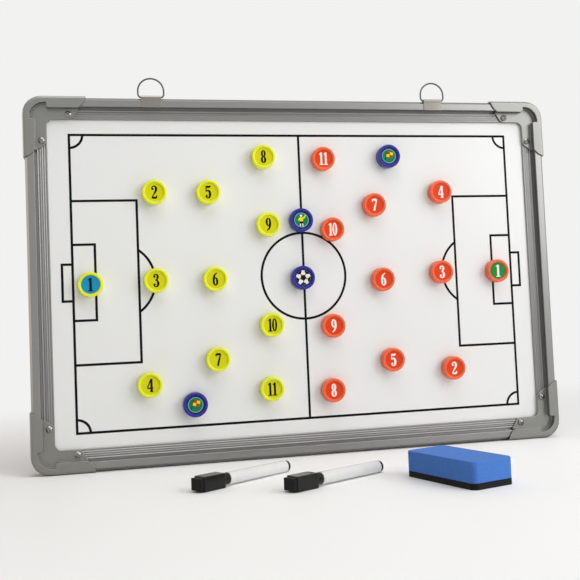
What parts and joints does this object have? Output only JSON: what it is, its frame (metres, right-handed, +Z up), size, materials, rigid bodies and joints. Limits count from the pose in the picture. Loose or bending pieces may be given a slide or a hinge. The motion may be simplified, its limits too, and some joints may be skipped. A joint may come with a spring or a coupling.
{
  "type": "magnetic whiteboard",
  "caption": "Small framed magnetic tactics board for football, with magnetic counters, hanging rings, capped dry-wipe pens and a foam eraser.",
  "frame": {"origin": "on the table under the middle of the whole set's bounding box", "axes": "+Z up; the board stands upright and faces -Y; +X to the right seen from the front"},
  "size_m": [0.45, 0.1966, 0.3158],
  "materials": {
    "white_enamel": "smooth gloss enamel on thin steel sheet",
    "fibreboard": "pressed fibreboard, cut edges",
    "galvanised_steel": "thin galvanised sheet",
    "anodised_aluminium": "satin anodised extrusion",
    "grey_plastic": "moulded ABS, satin",
    "nickelled_steel": "bright nickel plate",
    "clip_steel": "pressed sheet, satin nickel",
    "ring_steel": "bright nickelled wire",
    "yellow_plastic": "moulded polystyrene, semi-gloss",
    "orange_plastic": "moulded polystyrene, semi-gloss",
    "blue_plastic": "moulded polystyrene, semi-gloss",
    "white_plastic": "moulded polypropylene, semi-gloss",
    "black_plastic": "moulded polypropylene, satin",
    "ink_fibre": "bonded fibre soaked with ink",
    "blue_foam": "closed-cell foam, fine pores",
    "black_felt": "pressed wool felt"
  },
  "bodies": {
    "board": {"face_sheet": "white_enamel", "core_board": "fibreboard", "back_sheet": "galvanised_steel", "rail_top": "anodised_aluminium", "rail_bottom": "anodised_aluminium", "rail_left": "anodised_aluminium", "rail_right": "anodised_aluminium", "corner_top_left": "grey_plastic", "corner_top_right": "grey_plastic", "corner_bottom_left": "grey_plastic", "corner_bottom_right": "grey_plastic", "screw_top_left_a": "nickelled_steel", "screw_top_left_b": "nickelled_steel", "screw_top_right_a": "nickelled_steel", "screw_top_right_b": "nickelled_steel", "screw_bottom_left_a": "nickelled_steel", "screw_bottom_left_b": "nickelled_steel", "screw_bottom_right_a": "nickelled_steel", "screw_bottom_right_b": "nickelled_steel", "hanger_clip_left": "clip_steel", "hanger_clip_right": "clip_steel"},
    "ring_left": {"hanger_ring_left": "ring_steel"},
    "ring_right": {"hanger_ring_right": "ring_steel"},
    "yellow_counter_01": {"yellow_counter_01": "yellow_plastic"},
    "yellow_counter_02": {"yellow_counter_02": "yellow_plastic"},
    "yellow_counter_03": {"yellow_counter_03": "yellow_plastic"},
    "yellow_counter_04": {"yellow_counter_04": "yellow_plastic"},
    "yellow_counter_05": {"yellow_counter_05": "yellow_plastic"},
    "yellow_counter_06": {"yellow_counter_06": "yellow_plastic"},
    "yellow_counter_07": {"yellow_counter_07": "yellow_plastic"},
    "yellow_counter_08": {"yellow_counter_08": "yellow_plastic"},
    "yellow_counter_09": {"yellow_counter_09": "yellow_plastic"},
    "yellow_counter_10": {"yellow_counter_10": "yellow_plastic"},
    "yellow_counter_11": {"yellow_counter_11": "yellow_plastic"},
    "orange_counter_01": {"orange_counter_01": "orange_plastic"},
    "orange_counter_02": {"orange_counter_02": "orange_plastic"},
    "orange_counter_03": {"orange_counter_03": "orange_plastic"},
    "orange_counter_04": {"orange_counter_04": "orange_plastic"},
    "orange_counter_05": {"orange_counter_05": "orange_plastic"},
    "orange_counter_06": {"orange_counter_06": "orange_plastic"},
    "orange_counter_07": {"orange_counter_07": "orange_plastic"},
    "orange_counter_08": {"orange_counter_08": "orange_plastic"},
    "orange_counter_09": {"orange_counter_09": "orange_plastic"},
    "orange_counter_10": {"orange_counter_10": "orange_plastic"},
    "orange_counter_11": {"orange_counter_11": "orange_plastic"},
    "blue_counter_ball": {"blue_counter_ball": "blue_plastic"},
    "blue_counter_official": {"blue_counter_official": "blue_plastic"},
    "blue_counter_flag_left": {"blue_counter_flag_left": "blue_plastic"},
    "blue_counter_flag_right": {"blue_counter_flag_right": "blue_plastic"},
    "pen_1": {"pen_1_barrel": "white_plastic", "pen_1_ink_core": "ink_fibre", "pen_1_plug": "black_plastic"},
    "pen_1_cap": {"pen_1_cap": "black_plastic"},
    "pen_2": {"pen_2_barrel": "white_plastic", "pen_2_ink_core": "ink_fibre", "pen_2_plug": "black_plastic"},
    "pen_2_cap": {"pen_2_cap": "black_plastic"},
    "eraser": {"eraser_foam": "blue_foam", "eraser_felt": "black_felt"}
  },
  "joints": [
    {"name": "ring_left_swing", "type": "hinge", "parent": "board", "child": "ring_left", "pos_m": [-0.1233, 0.08416, 0.2993], "axis": [1, 0, 0], "range_deg": [-80, 145]},
    {"name": "ring_right_swing", "type": "hinge", "parent": "board", "child": "ring_right", "pos_m": [0.1207, 0.08416, 0.2993], "axis": [1, 0, 0], "range_deg": [-80, 145]},
    {"name": "yellow_counter_01_pull", "type": "slide", "parent": "board", "child": "yellow_counter_01", "axis": [0, -1, 0], "range_m": [0, 0.03]},
    {"name": "yellow_counter_02_pull", "type": "slide", "parent": "board", "child": "yellow_counter_02", "axis": [0, -1, 0], "range_m": [0, 0.03]},
    {"name": "yellow_counter_03_pull", "type": "slide", "parent": "board", "child": "yellow_counter_03", "axis": [0, -1, 0], "range_m": [0, 0.03]},
    {"name": "yellow_counter_04_pull", "type": "slide", "parent": "board", "child": "yellow_counter_04", "axis": [0, -1, 0], "range_m": [0, 0.03]},
    {"name": "yellow_counter_05_pull", "type": "slide", "parent": "board", "child": "yellow_counter_05", "axis": [0, -1, 0], "range_m": [0, 0.03]},
    {"name": "yellow_counter_06_pull", "type": "slide", "parent": "board", "child": "yellow_counter_06", "axis": [0, -1, 0], "range_m": [0, 0.03]},
    {"name": "yellow_counter_07_pull", "type": "slide", "parent": "board", "child": "yellow_counter_07", "axis": [0, -1, 0], "range_m": [0, 0.03]},
    {"name": "yellow_counter_08_pull", "type": "slide", "parent": "board", "child": "yellow_counter_08", "axis": [0, -1, 0], "range_m": [0, 0.03]},
    {"name": "yellow_counter_09_pull", "type": "slide", "parent": "board", "child": "yellow_counter_09", "axis": [0, -1, 0], "range_m": [0, 0.03]},
    {"name": "yellow_counter_10_pull", "type": "slide", "parent": "board", "child": "yellow_counter_10", "axis": [0, -1, 0], "range_m": [0, 0.03]},
    {"name": "yellow_counter_11_pull", "type": "slide", "parent": "board", "child": "yellow_counter_11", "axis": [0, -1, 0], "range_m": [0, 0.03]},
    {"name": "orange_counter_01_pull", "type": "slide", "parent": "board", "child": "orange_counter_01", "axis": [0, -1, 0], "range_m": [0, 0.03]},
    {"name": "orange_counter_02_pull", "type": "slide", "parent": "board", "child": "orange_counter_02", "axis": [0, -1, 0], "range_m": [0, 0.03]},
    {"name": "orange_counter_03_pull", "type": "slide", "parent": "board", "child": "orange_counter_03", "axis": [0, -1, 0], "range_m": [0, 0.03]},
    {"name": "orange_counter_04_pull", "type": "slide", "parent": "board", "child": "orange_counter_04", "axis": [0, -1, 0], "range_m": [0, 0.03]},
    {"name": "orange_counter_05_pull", "type": "slide", "parent": "board", "child": "orange_counter_05", "axis": [0, -1, 0], "range_m": [0, 0.03]},
    {"name": "orange_counter_06_pull", "type": "slide", "parent": "board", "child": "orange_counter_06", "axis": [0, -1, 0], "range_m": [0, 0.03]},
    {"name": "orange_counter_07_pull", "type": "slide", "parent": "board", "child": "orange_counter_07", "axis": [0, -1, 0], "range_m": [0, 0.03]},
    {"name": "orange_counter_08_pull", "type": "slide", "parent": "board", "child": "orange_counter_08", "axis": [0, -1, 0], "range_m": [0, 0.03]},
    {"name": "orange_counter_09_pull", "type": "slide", "parent": "board", "child": "orange_counter_09", "axis": [0, -1, 0], "range_m": [0, 0.03]},
    {"name": "orange_counter_10_pull", "type": "slide", "parent": "board", "child": "orange_counter_10", "axis": [0, -1, 0], "range_m": [0, 0.03]},
    {"name": "orange_counter_11_pull", "type": "slide", "parent": "board", "child": "orange_counter_11", "axis": [0, -1, 0], "range_m": [0, 0.03]},
    {"name": "blue_counter_ball_pull", "type": "slide", "parent": "board", "child": "blue_counter_ball", "axis": [0, -1, 0], "range_m": [0, 0.03]},
    {"name": "blue_counter_official_pull", "type": "slide", "parent": "board", "child": "blue_counter_official", "axis": [0, -1, 0], "range_m": [0, 0.03]},
    {"name": "blue_counter_flag_left_pull", "type": "slide", "parent": "board", "child": "blue_counter_flag_left", "axis": [0, -1, 0], "range_m": [0, 0.03]},
    {"name": "blue_counter_flag_right_pull", "type": "slide", "parent": "board", "child": "blue_counter_flag_right", "axis": [0, -1, 0], "range_m": [0, 0.03]},
    {"name": "pen_1_lift", "type": "slide", "parent": "board", "child": "pen_1", "axis": [0, 0, 1], "range_m": [0, 0.06]},
    {"name": "pen_1_cap_pull", "type": "slide", "parent": "pen_1", "child": "pen_1_cap", "axis": [-0.8181, -0.575, 0.0123], "range_m": [0, 0.03]},
    {"name": "pen_2_lift", "type": "slide", "parent": "board", "child": "pen_2", "axis": [0, 0, 1], "range_m": [0, 0.06]},
    {"name": "pen_2_cap_pull", "type": "slide", "parent": "pen_2", "child": "pen_2_cap", "axis": [-0.8616, -0.5075, 0.0123], "range_m": [0, 0.03]},
    {"name": "eraser_lift", "type": "slide", "parent": "board", "child": "eraser", "axis": [0, 0, 1], "range_m": [0, 0.06]}
  ]
}
